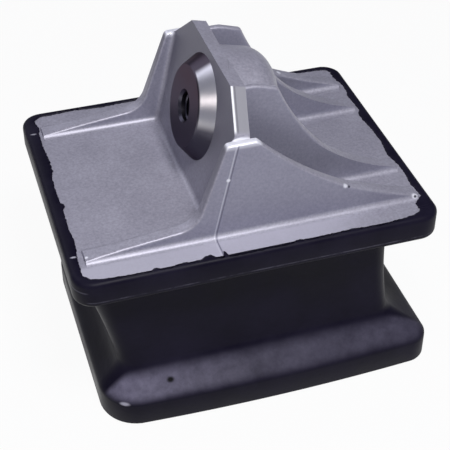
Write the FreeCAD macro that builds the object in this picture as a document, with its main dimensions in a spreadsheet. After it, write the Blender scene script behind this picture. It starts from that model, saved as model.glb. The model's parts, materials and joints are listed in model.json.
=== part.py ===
import FreeCAD, Part
import math
import os
import Sketcher

# Engine mount: an aluminium saddle casting bonded into a rubber block.
# Millimetres, +Z up.  The origin is on the resting face, in the middle of the outline.
# X runs along the mount, the bush faces -X, and the mount is symmetric about the XZ plane.
# Every body is drawn in one local frame, on the top face of the saddle's plate.

DOC = FreeCAD.newDocument("EngineMount")
SHEET = DOC.addObject("Spreadsheet::Sheet", "Sizes")

SIZES = {
    # whole mount
    "plateTop": 118,           # resting face to the top face of the saddle's plate
    "saddleShift": -2.35,      # saddle's middle, along X from the mount's middle
    # saddle: plate
    "plateLength": 200,
    "plateWidth": 163,
    "plateThickness": 8,
    "plateCorner": 9,
    # saddle: outer walls, one each side of the boss
    "outerSpacing": 120,       # between the middles of the two walls
    "outerFoot": 8.6,          # thickness at the foot
    "outerTip": 5,             # thickness at the apex
    "apexHeight": 57,
    "apexFront": 16.5,         # front end of the flat apex, ahead of the middle
    "apexBack": 0.5,           # back end of the flat apex
    "frontTailHeight": 2,      # ridge height at the front end of the wall
    "turnStart": 43,           # where the front tail starts to turn up, ahead of the middle
    "turnStartHeight": 7.7,
    "turnEnd": 30.4,
    "turnEndHeight": 18.3,
    "turnRadius": 15.6,
    "wallMargin": 5.5,         # plate left clear at both ends of the walls
    "kneeBack": 50.5,          # place of the knee in the back slope
    "kneeHeight": 18.4,
    "backTailHeight": 2,
    "backSlopeRadius": 210,
    "backTailRadius": 330,
    # saddle: inner walls behind the boss
    "innerSpacing": 65,
    "innerFoot": 8,
    "innerTip": 4,
    "innerHeight": 72,
    "innerShoulder": 21,       # back end of the inner walls' top
    "innerShoulderHeight": 68.2,
    "innerKnee": 54,
    "innerKneeHeight": 20.5,
    "innerSlopeRadius": 131,
    "innerTailRadius": 110,
    "footFillet": 4,           # walls to the plate
    "bossFillet": 3.5,         # boss plate to the walls and the plate
    "apexFillet": 3,
    "ridgeFillet": 1.6,
    # saddle: boss plate, leaning back
    "bossLean": 13.3,          # degrees
    "bossFoot": 24.4,          # foot of the front face, ahead of the middle
    "bossThickness": 8.5,
    "bossTopHalf": 36,
    "bossTopHeight": 77.9,     # measured up the leaning face
    "bossChamfer": 41,         # degrees
    # saddle: barrel behind the boss plate
    "boreHeight": 43.2,        # measured up the leaning face
    "barrelRootRadius": 34.2,  # in the middle of the boss plate
    "barrelRadius": 39,
    "barrelCrest": 20,         # behind the boss plate's front face
    "barrelDepth": 44.5,
    "barrelEndRadius": 12,
    "barrelDome": 32,          # radius of the domed end
    # threaded bush
    "bushFaceRadius": 24,
    "bushSeatRadius": 30,
    "bushProud": 8,
    "bushShankRadius": 20,
    "bushShankLength": 28,
    "threadRadius": 8.2,       # M18 x 1.5 core
    "mouthRadius": 9.6,
    "bushEdge": 0.8,           # broken edge of the bush's face
    # rubber
    "rimLength": 207,
    "rimWidth": 166.5,
    "rimShift": -1,            # middle of the rim from the saddle's middle
    "rimCorner": 12,
    "rimDepth": 15,            # below the plate's top face
    "lipHeight": 0.8,
    "lipOverlap": 2,
    "rimFillet": 3,
    "neckTopLength": 178,
    "neckTopWidth": 130,
    "neckTopShift": -8,        # middle of the neck's top from the saddle's middle
    "neckBottomLength": 167,
    "neckBottomWidth": 126,
    "neckBottomShift": 3.5,
    "neckCorner": 10,
    "neckBottom": 32,          # height over the resting face
    "flangeLength": 202,
    "flangeWidth": 161.5,
    "flangeShift": 8.2,
    "flangeFrontCorner": 23,   # at the -X end
    "flangeBackCorner": 13,
    "flangeEdge": 17,          # height of the flange's upright edge
    "flangeBow": 2.5,          # how far the long sides bow outward
    # base plate, flush with the resting face
    "basePlateLength": 180,
    "basePlateWidth": 136,
    "basePlateThickness": 5,
    "basePlateCorner": 8,
}

for row, (alias, number) in enumerate(SIZES.items(), start=1):
    SHEET.set("A%d" % row, alias)
    SHEET.set("B%d" % row, str(number))
    SHEET.setAlias("B%d" % row, alias)
DOC.recompute()


class Size:
    """A length or an angle that knows its number and its spreadsheet expression."""

    def __init__(self, number, text):
        self.number = float(number)
        self.text = text

    def __add__(self, other):
        other = as_size(other)
        return Size(self.number + other.number, "(%s + %s)" % (self.text, other.text))

    def __sub__(self, other):
        other = as_size(other)
        return Size(self.number - other.number, "(%s - %s)" % (self.text, other.text))

    def __mul__(self, other):
        other = as_size(other)
        return Size(self.number * other.number, "(%s * %s)" % (self.text, other.text))

    def __truediv__(self, other):
        other = as_size(other)
        return Size(self.number / other.number, "(%s / %s)" % (self.text, other.text))

    def __neg__(self):
        return Size(-self.number, "(-1 * %s)" % self.text)


def as_size(value):
    if isinstance(value, Size):
        return value
    return Size(value, "(%r)" % float(value))


def size(alias):
    return Size(SHEET.get(alias), "Sizes.%s" % alias)


def sine(angle):
    return Size(math.sin(math.radians(angle.number)), "sin(%s)" % angle.text)


def cosine(angle):
    return Size(math.cos(math.radians(angle.number)), "cos(%s)" % angle.text)


def tangent(angle):
    return Size(math.tan(math.radians(angle.number)), "tan(%s)" % angle.text)


# ---------------------------------------------------------------- drawing helpers

def new_body(label):
    body = DOC.addObject("PartDesign::Body", label)
    body.Label = label
    return body


def place(body):
    """Move a finished body from the plate's frame to the mount's."""
    body.setExpression("Placement.Base.x", "Sizes.saddleShift")
    body.setExpression("Placement.Base.z", "Sizes.plateTop")


def origin_plane(body, role):
    for feature in body.Origin.OriginFeatures:
        if feature.Role == role:
            return feature
    raise RuntimeError("no origin plane %s" % role)


def new_sketch(body, name, role, shift=(0, 0, 0), turn=None):
    """A sketch on one of the body's planes, moved in the plane's own axes.

    turn is ("Yaw" or "Roll", angle) and tilts the sketch about its own Z or X axis.
    """
    sketch = body.newObject("Sketcher::SketchObject", name)
    sketch.AttachmentSupport = [(origin_plane(body, role), "")]
    sketch.MapMode = "FlatFace"
    for axis, value in zip("xyz", shift):
        sketch.setExpression("AttachmentOffset.Base.%s" % axis, as_size(value).text)
    if turn:
        sketch.setExpression("AttachmentOffset.Rotation.%s" % turn[0], turn[1].text)
    return sketch


def fix_point(sketch, index, end, point):
    """Dimension one end of an edge from the sketch's origin."""
    for kind, value in zip(("DistanceX", "DistanceY"), point):
        value = as_size(value)
        number = sketch.addConstraint(Sketcher.Constraint(kind, -1, 1, index, end, value.number))
        sketch.setExpression("Constraints[%d]" % number, value.text)


def draw_outline(sketch, points, bends=None):
    """A closed outline through points.

    bends gives, for the edge that leaves a point, the radius of its arc: positive when the
    arc's centre is on the left of the way from that point to the next one.
    """
    bends = bends or {}
    count = len(points)
    first = sketch.GeometryCount
    for k in range(count):
        start = [as_size(v).number for v in points[k]]
        end = [as_size(v).number for v in points[(k + 1) % count]]
        a = FreeCAD.Vector(start[0], start[1], 0)
        b = FreeCAD.Vector(end[0], end[1], 0)
        if k in bends:
            radius = bends[k].number
            half = (b - a) * 0.5
            left = FreeCAD.Vector(-half.y, half.x, 0).normalize()
            reach = math.sqrt(radius ** 2 - half.Length ** 2)
            sagitta = abs(radius) - reach
            side = -1 if radius > 0 else 1
            middle = a + half + left * (side * sagitta)
            sketch.addGeometry(Part.Arc(a, middle, b), False)
        else:
            sketch.addGeometry(Part.LineSegment(a, b), False)
    starts = {}
    for k in range(count):
        start = FreeCAD.Vector(*[as_size(v).number for v in points[k]], 0)
        near_first = sketch.getPoint(first + k, 1).distanceToPoint(start) < 1e-6
        starts[k] = 1 if near_first else 2
    for k in range(count):
        after = (k + 1) % count
        sketch.addConstraint(Sketcher.Constraint(
            "Coincident", first + k, 3 - starts[k], first + after, starts[after]))
        fix_point(sketch, first + k, starts[k], points[k])
        if k in bends:
            number = sketch.addConstraint(
                Sketcher.Constraint("Radius", first + k, abs(bends[k].number)))
            text = bends[k].text if bends[k].number > 0 else (-bends[k]).text
            sketch.setExpression("Constraints[%d]" % number, text)
    return sketch


def rounded_rectangle(sketch, length, width, corner, middle=0):
    """A rectangle with round corners, its middle on the sketch's X axis."""
    x1 = as_size(middle) - length / 2
    x2 = as_size(middle) + length / 2
    y1 = -(width / 2)
    y2 = width / 2
    points = [
        (x1 + corner, y1), (x2 - corner, y1),
        (x2, y1 + corner), (x2, y2 - corner),
        (x2 - corner, y2), (x1 + corner, y2),
        (x1, y2 - corner), (x1, y1 + corner),
    ]
    return draw_outline(sketch, points, {1: corner, 3: corner, 5: corner, 7: corner})


def add_circle(sketch, radius, centre=(0, 0)):
    numbers = [as_size(v).number for v in centre]
    index = sketch.addGeometry(Part.Circle(
        FreeCAD.Vector(numbers[0], numbers[1], 0), FreeCAD.Vector(0, 0, 1), radius.number), False)
    fix_point(sketch, index, 3, centre)
    number = sketch.addConstraint(Sketcher.Constraint("Radius", index, radius.number))
    sketch.setExpression("Constraints[%d]" % number, radius.text)
    return sketch


def extrude(body, kind, name, sketch, length, reverse=False, midplane=False):
    feature = body.newObject("PartDesign::" + kind, name)
    feature.Profile = sketch
    feature.setExpression("Length", length.text)
    feature.Reversed = reverse
    feature.Midplane = midplane
    DOC.recompute()
    return feature


def round_edges(body, name, radius, wanted):
    """Fillet the edges of the body so far for which wanted(edge) is true."""
    base = body.Tip
    names = ["Edge%d" % (k + 1) for k, edge in enumerate(base.Shape.Edges) if wanted(edge)]
    if not names:
        raise RuntimeError("no edges for " + name)
    feature = body.newObject("PartDesign::Fillet", name)
    feature.Base = (base, names)
    feature.setExpression("Radius", radius.text)
    DOC.recompute()
    return feature


def edge_middle(edge):
    return edge.valueAt((edge.FirstParameter + edge.LastParameter) / 2)


# ---------------------------------------------------------------- shared sizes

LEAN = size("bossLean")
BORE_X = -size("bossFoot") + size("boreHeight") * sine(LEAN)
BORE_Z = size("boreHeight") * cosine(LEAN)


# ---------------------------------------------------------------- saddle casting

def wall_section(sketch, spacing, foot, tip, height):
    """Sections of a pair of walls that taper from foot to tip, rooted in the plate."""
    root = -(size("plateThickness") / 2)
    lean = (foot - tip) / 2 / height
    for side in (-1, 1):
        middle = spacing / 2 * side
        half_root = foot / 2 - lean * root
        half_tip = tip / 2
        draw_outline(sketch, [
            (middle - half_root, root), (middle + half_root, root),
            (middle + half_tip, height), (middle - half_tip, height),
        ])
    return sketch


def face_distance(point):
    """Distance of a point behind the boss plate's front face."""
    lean = math.radians(LEAN.number)
    return (point.x + size("bossFoot").number) * math.cos(lean) - point.z * math.sin(lean)


def is_bossed(edge, depth):
    """An inner corner of the boss plate's face that lies depth behind its front."""
    points = [vertex.Point for vertex in edge.Vertexes] + [edge_middle(edge)]
    if max(abs(face_distance(p) - depth) for p in points) > 1e-3:
        return False
    if max(abs(p.y) for p in points) > size("outerSpacing").number / 2 - size("outerTip").number / 2 + 0.01:
        return False
    if max(p.z for p in points) > size("apexHeight").number + 0.1:
        return False
    lengths = edge.BoundBox
    return lengths.ZMin > -1e-3


def is_foot(edge):
    """An edge along X where a wall's side meets the plate's top face."""
    box = edge.BoundBox
    if box.XLength < 20 or abs(box.ZMax) > 1e-4 or abs(box.ZMin) > 1e-4:
        return False
    for spacing, foot in (("outerSpacing", "outerFoot"), ("innerSpacing", "innerFoot")):
        reach = abs(abs(box.Center.y) - size(spacing).number / 2)
        if abs(reach - size(foot).number / 2) < 1e-3:
            return True
    return False


def is_ridge(edge):
    """An edge along the top of a wall, short of the low ends of its tails."""
    box = edge.BoundBox
    middle = edge_middle(edge)
    low = size("footFillet").number
    if box.ZMin < low - 0.01 or box.ZMax < low + 0.2 or box.XLength < 1:
        return False
    if box.YLength > size("outerFoot").number / 2:
        return False
    return abs(middle.y) > size("innerSpacing").number / 2 - size("innerFoot").number


def is_apex(edge):
    """A level edge across the flat apex of an outer wall or the shoulder of an inner one."""
    box = edge.BoundBox
    if box.XLength > 1e-3 or box.ZLength > 1e-3 or box.YLength > size("outerFoot").number:
        return False
    heights = (size("apexHeight").number, size("innerShoulderHeight").number)
    return min(abs(box.Center.z - height) for height in heights) < 1e-3


def build_saddle():
    body = new_body("saddle_casting")
    spacing = size("outerSpacing")
    inner = size("innerSpacing")
    top = size("apexHeight")
    sky = size("bossTopHeight") + size("plateThickness")
    wall_end = size("plateLength") / 2 - size("wallMargin")
    end = wall_end + 1
    between = (spacing + inner) / 4

    sketch = new_sketch(body, "plate_outline", "XY_Plane")
    rounded_rectangle(sketch, size("plateLength"), size("plateWidth"), size("plateCorner"))
    extrude(body, "Pad", "plate", sketch, size("plateThickness"), reverse=True)

    # inner walls, behind the boss plate
    start = -(size("bossFoot") / 2)
    sketch = new_sketch(body, "inner_section", "YZ_Plane", shift=(0, 0, start))
    wall_section(sketch, inner, size("innerFoot"), size("innerTip"), size("innerHeight"))
    extrude(body, "Pad", "inner_walls", sketch, wall_end - start)

    # the inner walls' ridge: what stands above the outline is cut away
    sketch = new_sketch(body, "inner_ridge", "XZ_Plane")
    draw_outline(sketch, [
        (start - 1, size("innerHeight")),
        (size("bossThickness"), size("innerHeight")),
        (size("innerShoulder"), size("innerShoulderHeight")),
        (size("innerKnee"), size("innerKneeHeight")),
        (end, size("backTailHeight")),
        (end, sky),
        (start - 1, sky),
    ], {2: size("innerSlopeRadius"), 3: size("innerTailRadius")})
    inner_ridge = sketch

    sketch = new_sketch(body, "outer_section", "YZ_Plane")
    wall_section(sketch, spacing, size("outerFoot"), size("outerTip"), top)
    extrude(body, "Pad", "outer_walls", sketch, wall_end * 2, midplane=True)
    round_edges(body, "feet", size("footFillet"), is_foot)

    # the inner walls' front ends are cut to the boss plate's lean
    sketch = boss_sketch(body, "inner_front", size("bossThickness") / 2)
    draw_outline(sketch, [(-between, 0), (between, 0), (between, sky), (-between, sky)])
    extrude(body, "Pocket", "inner_front_cut", sketch, size("bossFoot"))

    extrude(body, "Pocket", "inner_ridge_cut", inner_ridge, inner + size("innerFoot") * 2,
            midplane=True)
    sketch = new_sketch(body, "outer_ridge", "XZ_Plane", shift=(0, 0, between))
    draw_outline(sketch, [
        (-end, size("frontTailHeight")),
        (-size("turnStart"), size("turnStartHeight")),
        (-size("turnEnd"), size("turnEndHeight")),
        (-size("apexFront"), top),
        (size("apexBack"), top),
        (size("kneeBack"), size("kneeHeight")),
        (end, size("backTailHeight")),
        (end, sky),
        (-end, sky),
    ], {1: size("turnRadius"), 4: size("backSlopeRadius"), 5: size("backTailRadius")})
    ridge = extrude(body, "Pocket", "outer_ridge_cut", sketch, size("plateWidth"), reverse=True)
    mirror = body.newObject("PartDesign::Mirrored", "outer_ridge_cuts")
    mirror.Originals = [ridge]
    mirror.MirrorPlane = (origin_plane(body, "XZ_Plane"), [""])
    body.Tip = mirror
    DOC.recompute()

    round_edges(body, "apexes", size("apexFillet"), is_apex)
    round_edges(body, "ridges", size("ridgeFillet"), is_ridge)

    # boss plate, leaning back, its sides buried in the outer walls
    side = spacing / 2
    flank = size("bossTopHeight") - (side - size("bossTopHalf")) * tangent(size("bossChamfer"))
    root = -(size("plateThickness") / 2)
    sketch = boss_sketch(body, "boss_outline")
    draw_outline(sketch, [
        (-side, root), (side, root), (side, flank),
        (size("bossTopHalf"), size("bossTopHeight")),
        (-size("bossTopHalf"), size("bossTopHeight")),
        (-side, flank),
    ])
    extrude(body, "Pad", "boss_plate", sketch, size("bossThickness"))
    round_edges(body, "boss_front", size("bossFillet"), lambda edge: is_bossed(edge, 0))

    fuse = body.newObject("PartDesign::Boolean", "boss")
    fuse.setObjects([build_barrel(inner)])
    fuse.Type = "Fuse"
    DOC.recompute()

    sketch = boss_sketch(body, "bush_seat")
    add_circle(sketch, size("bushShankRadius"), (0, size("boreHeight")))
    extrude(body, "Pocket", "bush_bore", sketch, size("bushShankLength"), reverse=True)
    place(body)
    return body


def boss_sketch(body, name, depth=0):
    """A sketch on the boss plate's front face, or depth behind it, its Y up the lean."""
    lift = as_size(depth)
    return new_sketch(body, name, "YZ_Plane", turn=("Roll", LEAN), shift=(
        0, -(lift * sine(LEAN)), lift * cosine(LEAN) - size("bossFoot")))


def build_barrel(inner):
    """The domed barrel behind the boss plate, flat-sided between the inner walls."""
    body = new_body("boss_barrel")
    sketch = new_sketch(body, "barrel_profile", "XZ_Plane", shift=(BORE_X, BORE_Z, 0),
                        turn=("Yaw", -LEAN))
    start = size("bossThickness") / 2
    depth = size("barrelDepth")
    draw_outline(sketch, [
        (start, 0), (depth, 0), (depth, size("barrelEndRadius")),
        (size("barrelCrest"), size("barrelRadius")), (start, size("barrelRootRadius")),
    ], {2: size("barrelDome")})
    barrel = body.newObject("PartDesign::Revolution", "barrel")
    barrel.Profile = sketch
    barrel.ReferenceAxis = (sketch, ["H_Axis"])
    barrel.Angle = 360
    DOC.recompute()

    far = size("barrelRadius") * 3
    sketch = new_sketch(body, "barrel_trim", "YZ_Plane")
    draw_outline(sketch, [(-far, -far), (far, -far), (far, far), (-far, far)])
    half = inner / 2
    floor = -(size("plateThickness") / 2)
    draw_outline(sketch, [(-half, floor), (half, floor), (half, far - 1), (-half, far - 1)])
    extrude(body, "Pocket", "barrel_sides", sketch, far * 2, midplane=True)
    return body


# ---------------------------------------------------------------- threaded bush

def build_bush():
    """A turned steel bush: a conical head proud of the boss, a shank cast into it."""
    body = new_body("threaded_bush")
    sketch = new_sketch(body, "bush_profile", "XZ_Plane", shift=(BORE_X, BORE_Z, 0),
                        turn=("Yaw", -LEAN))
    mouth = size("mouthRadius") - size("threadRadius")
    edge = size("bushEdge")
    draw_outline(sketch, [
        (-size("bushProud"), size("mouthRadius")),
        (mouth - size("bushProud"), size("threadRadius")),
        (size("bushShankLength"), size("threadRadius")),
        (size("bushShankLength"), size("bushShankRadius")),
        (0, size("bushShankRadius")),
        (0, size("bushSeatRadius")),
        (edge - size("bushProud"), size("bushFaceRadius")),
        (-size("bushProud"), size("bushFaceRadius") - edge),
    ])
    bush = body.newObject("PartDesign::Revolution", "bush")
    bush.Profile = sketch
    bush.ReferenceAxis = (sketch, ["H_Axis"])
    bush.Angle = 360
    DOC.recompute()
    place(body)
    return body


# ---------------------------------------------------------------- rubber body

def build_rubber():
    """The rubber block: a rim round the saddle's plate, a neck, and a sloped base flange."""
    body = new_body("rubber_body")
    rest = -size("plateTop")
    neck_foot = rest + size("neckBottom")
    flange_top = rest + size("flangeEdge")

    def level(name, height, length, width, corner, middle=0):
        sketch = new_sketch(body, name, "XY_Plane", shift=(0, 0, height))
        return rounded_rectangle(sketch, size(length), size(width), size(corner), middle)

    def loft(name, lower, upper):
        feature = body.newObject("PartDesign::AdditiveLoft", name)
        feature.Profile = lower
        feature.Sections = [upper]
        feature.Ruled = True
        DOC.recompute()

    sketch = level("rim_outline", -size("rimDepth"), "rimLength", "rimWidth", "rimCorner",
                   size("rimShift"))
    extrude(body, "Pad", "rim", sketch, size("rimDepth") + size("lipHeight"))
    round_edges(body, "rim_edges", size("rimFillet"), is_level)

    neck_top = level("neck_top", -size("rimDepth"), "neckTopLength", "neckTopWidth", "neckCorner",
                     size("neckTopShift"))
    neck_bottom = level("neck_bottom", neck_foot, "neckBottomLength", "neckBottomWidth",
                        "neckCorner", size("neckBottomShift"))
    loft("neck", neck_bottom, neck_top)
    slope_top = level("slope_top", neck_foot, "neckBottomLength", "neckBottomWidth",
                      "neckCorner", size("neckBottomShift"))
    slope_foot = flange_outline(body, "slope_foot", flange_top)
    loft("flange_slope", slope_foot, slope_top)
    edge = flange_outline(body, "flange_edge", rest)
    extrude(body, "Pad", "flange", edge, size("flangeEdge"))

    # the saddle's plate sits in a pocket, under a thin lip
    sketch = level("plate_seat", 0, "plateLength", "plateWidth", "plateCorner")
    extrude(body, "Pocket", "plate_pocket", sketch, size("plateThickness"))
    opening = new_sketch(body, "lip_opening", "XY_Plane")
    overlap = size("lipOverlap")
    rounded_rectangle(opening, size("plateLength") - overlap * 2,
                      size("plateWidth") - overlap * 2, size("plateCorner") - overlap)
    extrude(body, "Pocket", "lip", opening, size("lipHeight") * 2, reverse=True)

    # the base plate is let into the underside
    sketch = level("base_plate_seat", rest, "basePlateLength", "basePlateWidth",
                   "basePlateCorner", size("flangeShift"))
    extrude(body, "Pocket", "base_plate_pocket", sketch, size("basePlateThickness"), reverse=True)
    place(body)
    return body


def is_level(edge):
    """An edge of the rim's outline, in its top or bottom face."""
    return edge.BoundBox.ZLength < 1e-3


def flange_outline(body, name, height):
    """The base flange's outline: round corners and sides that bow outward."""
    sketch = new_sketch(body, name, "XY_Plane", shift=(0, 0, height))
    bow = size("flangeBow")
    near = size("flangeFrontCorner")
    far = size("flangeBackCorner")
    x1 = size("flangeShift") - size("flangeLength") / 2
    x2 = size("flangeShift") + size("flangeLength") / 2
    y2 = size("flangeWidth") / 2
    low = y2 - bow
    long_half = (size("flangeLength") - near - far) / 2
    sweep = (long_half * long_half + bow * bow) / (bow * 2)
    points = [
        (x1 + near, -low), (x2 - far, -low),
        (x2, far - low), (x2, low - far),
        (x2 - far, low), (x1 + near, low),
        (x1, low - near), (x1, near - low),
    ]
    return draw_outline(sketch, points, {
        0: sweep, 1: far, 3: far, 4: sweep, 5: near, 7: near})


# ---------------------------------------------------------------- base plate

def build_base_plate():
    """The steel plate bonded into the underside."""
    body = new_body("base_plate")
    sketch = new_sketch(body, "base_plate_outline", "XY_Plane", shift=(0, 0, -size("plateTop")))
    rounded_rectangle(sketch, size("basePlateLength"), size("basePlateWidth"),
                      size("basePlateCorner"), size("flangeShift"))
    extrude(body, "Pad", "plate_of_the_base", sketch, size("basePlateThickness"))
    place(body)
    return body


# ---------------------------------------------------------------- build, check, write

PIECES = [build_saddle(), build_bush(), build_rubber(), build_base_plate()]
DOC.recompute()

for item in DOC.Objects:
    if "Invalid" in item.State or "Error" in item.State:
        raise RuntimeError("%s failed: %s" % (item.Label, item.State))

os.makedirs("parts", exist_ok=True)
for piece in PIECES:
    shape = piece.Shape
    if shape.isNull() or not shape.isValid() or len(shape.Solids) != 1:
        raise RuntimeError("bad shape: " + piece.Label)
for piece in PIECES:
    piece.Shape.exportStep("parts/%s.step" % piece.Label)
    box = piece.Shape.BoundBox
    print("%-16s %6.1f x %6.1f x %6.1f mm, %8.1f cm3" % (
        piece.Label, box.XLength, box.YLength, box.ZLength, piece.Shape.Volume / 1000))
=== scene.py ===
import json
import math

import bmesh
import bpy
from bpy.props import FloatProperty, PointerProperty, StringProperty
from mathutils import Matrix, Vector, noise


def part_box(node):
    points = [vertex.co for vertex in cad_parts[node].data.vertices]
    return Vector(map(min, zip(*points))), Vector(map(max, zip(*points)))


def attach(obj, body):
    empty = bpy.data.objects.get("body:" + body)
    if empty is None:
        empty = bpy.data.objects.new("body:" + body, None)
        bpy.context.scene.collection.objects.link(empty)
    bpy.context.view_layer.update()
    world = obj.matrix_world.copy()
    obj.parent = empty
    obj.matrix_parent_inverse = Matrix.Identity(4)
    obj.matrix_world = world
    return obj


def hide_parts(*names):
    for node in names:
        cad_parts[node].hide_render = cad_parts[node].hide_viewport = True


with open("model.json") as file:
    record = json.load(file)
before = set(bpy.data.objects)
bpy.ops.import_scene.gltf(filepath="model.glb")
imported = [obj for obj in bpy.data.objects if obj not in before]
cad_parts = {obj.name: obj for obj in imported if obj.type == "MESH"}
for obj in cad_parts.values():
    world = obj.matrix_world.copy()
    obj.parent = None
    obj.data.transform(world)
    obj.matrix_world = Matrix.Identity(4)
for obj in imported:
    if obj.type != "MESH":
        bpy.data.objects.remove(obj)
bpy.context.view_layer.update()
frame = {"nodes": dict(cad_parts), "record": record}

bl_info = {
    "name": "Engine Mount Dressing",
    "version": (1, 0, 0),
    "blender": (4, 5, 0),
    "location": "View3D > Sidebar > Engine Mount",
    "description": "Finishes, moulded rubber, thread and stage for a rubber-bonded engine mount",
    "category": "Object",
}

MM = 0.001

SADDLE_LOW, SADDLE_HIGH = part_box("saddle_casting")
SADDLE_X = (SADDLE_LOW[0] + SADDLE_HIGH[0]) / 2     # middle of the saddle's plate
PLATE_HALF_LENGTH = (SADDLE_HIGH[0] - SADDLE_LOW[0]) / 2
PLATE_HALF_WIDTH = (SADDLE_HIGH[1] - SADDLE_LOW[1]) / 2
PLATE_THICKNESS = 8 * MM
PLATE_TOP = SADDLE_LOW[2] + PLATE_THICKNESS

TAPPING = next(m for m in frame["record"]["mounts"] if m["name"] == "tapped_bush")
BORE_AXIS = Vector(TAPPING["axis"])                  # out of the hole's mouth
BORE_MIDDLE = Vector(TAPPING["pos_m"])
BORE_RADIUS = TAPPING["dims"]["r_mm"] * MM
BORE_LENGTH = TAPPING["dims"]["length_mm"] * MM

# The bore's axis meets the boss plate's front face at BORE_FACE; INTO points into the casting.
INTO = -BORE_AXIS
BEHIND_BOSS_FACE = 10.7 * MM                         # where the bore's middle lies
ACROSS = Vector((0, 1, 0))
UP = INTO.cross(ACROSS) if INTO.cross(ACROSS).z > 0 else -INTO.cross(ACROSS)
BORE_FACE = BORE_MIDDLE - INTO * BEHIND_BOSS_FACE
FACE_DEPTH = BORE_FACE.dot(INTO)
SEAM_DEPTH = -53.3 * MM                              # the seam's plane, parallel to the boss face

# Small marks: place in mm and radius in mm.
CASTING_BRIGHT_MARKS = (
    ((-18.3, -63.2, 154.2), 1.5), ((48.3, -63.2, 135.9), 2.0), ((52.6, 58.8, 134.5), 2.2),
    ((90.3, -64.5, 120.3), 2.4), ((-96.0, -62.0, 120.5), 1.4),
)
CASTING_DARK_MARKS = (
    ((90.6, -64.8, 119.9), 1.2), ((-96.9, -61.3, 118.9), 1.3), ((50.5, -63.6, 135.0), 1.2),
)
# Rubber marks also have a stretch along X, Y and Z.
RUBBER_PALE_MARKS = (
    ((-84.0, -74.5, 16.4), 1.6, (3, 2, 1)), ((-102.2, 60.2, 118.8), 1.0, (2.4, 1, 1)),
    ((-102.1, -58.1, 118.7), 1.0, (2.4, 1, 1)),
)
RUBBER_DARK_MARKS = (
    ((-55.6, -71.1, 24.5), 2.6, (1.2, 1, 1)),
)


# ---------------------------------------------------------------- colours and shader nodes

def linear(hex_colour):
    """An sRGB hex colour as linear RGBA."""
    channels = []
    for start in (1, 3, 5):
        value = int(hex_colour[start:start + 2], 16) / 255
        channels.append(value / 12.92 if value <= 0.04045 else ((value + 0.055) / 1.055) ** 2.4)
    return (*channels, 1.0)


def new_material(name):
    material = bpy.data.materials.new(name)
    material.use_nodes = True
    material.node_tree.nodes.clear()
    return material


def add_node(material, kind, links=None, **settings):
    """Add a shader node: links maps inputs to values or sockets, settings are its properties."""
    tree = material.node_tree
    made = tree.nodes.new(kind)
    for key, value in settings.items():
        setattr(made, key, value)
    for key, value in (links or {}).items():
        if isinstance(value, bpy.types.NodeSocket):
            tree.links.new(value, made.inputs[key])
        else:
            made.inputs[key].default_value = value
    return made


def ramp(material, value, start, end):
    """0 where value is at start, 1 where it is at end, easing between."""
    flipped = start > end
    low, high = (end, start) if flipped else (start, end)
    return add_node(material, "ShaderNodeMapRange", {
        "Value": value, "From Min": low, "From Max": high,
        "To Min": 1.0 if flipped else 0.0, "To Max": 0.0 if flipped else 1.0},
        interpolation_type="SMOOTHSTEP").outputs["Result"]


def combine(material, operation, *values):
    """Fold values together with one math operation."""
    total = values[0]
    for value in values[1:]:
        total = add_node(material, "ShaderNodeMath", {0: total, 1: value},
                         operation=operation).outputs["Value"]
    return total


def spot(material, place, centre, radius, stretch=(1, 1, 1)):
    """1 at a place given in mm, easing to 0 at radius mm from it."""
    offset = add_node(material, "ShaderNodeVectorMath", {
        0: place, 1: tuple(c * MM for c in centre)}, operation="SUBTRACT").outputs["Vector"]
    offset = add_node(material, "ShaderNodeVectorMath", {0: offset, 1: stretch},
                      operation="DIVIDE").outputs["Vector"]
    reach = add_node(material, "ShaderNodeVectorMath", {0: offset},
                     operation="LENGTH").outputs["Value"]
    return ramp(material, reach, radius * MM, radius * MM * 0.3)


def line(material, value, middle, half_width):
    """1 where value is at middle, easing to 0 at half_width from it."""
    away = add_node(material, "ShaderNodeMath", {0: value, 1: middle}, operation="SUBTRACT")
    away = add_node(material, "ShaderNodeMath", {0: away.outputs["Value"]}, operation="ABSOLUTE")
    return ramp(material, away.outputs["Value"], half_width, half_width * 0.3)


def blend(material, factor, below, above):
    """Colour below, covered by colour above where factor is 1."""
    return add_node(material, "ShaderNodeMix", {"Factor": factor, "A": below, "B": above},
                    data_type="RGBA").outputs["Result"]


def paint(material, tone, colour, *masks, strength=1.0):
    """Cover tone with a hex colour where every mask is 1, by a share of strength."""
    if strength < 1:
        masks = (*masks, strength)
    return blend(material, combine(material, "MULTIPLY", *masks), tone, linear(colour))


def span(start, end, origin=0.0):
    """Where a mask is 0 and where it is 1, given in mm from origin."""
    return origin + start * MM, origin + end * MM


def dress(piece, material):
    piece.data.materials.clear()
    piece.data.materials.append(material)


def link_piece(context, name, bm, smooth=True):
    """Turn a bmesh into a piece that rides with the mount."""
    bmesh.ops.recalc_face_normals(bm, faces=bm.faces)
    mesh = bpy.data.meshes.new(name)
    bm.to_mesh(mesh)
    bm.free()
    if smooth is not None:
        for polygon in mesh.polygons:
            polygon.use_smooth = smooth
    piece = bpy.data.objects.new(name, mesh)
    context.scene.collection.objects.link(piece)
    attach(piece, "root")
    return piece


# ---------------------------------------------------------------- sizes and colours

class MountCastingSettings(bpy.types.PropertyGroup):
    colour: StringProperty(
        name="Casting", description="Colour of the cast aluminium", default="#A09EAC")
    shade: StringProperty(
        name="Casting shade", description="Colour of its darker clouds", default="#9795A3")
    roughness: FloatProperty(
        name="Roughness", description="Roughness of the cast skin", default=0.42,
        min=0, max=1, subtype="FACTOR")
    seam_width: FloatProperty(
        name="Seam width", description="Width of the mould seam on the outer walls",
        default=1.1 * MM, unit="LENGTH")


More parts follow.
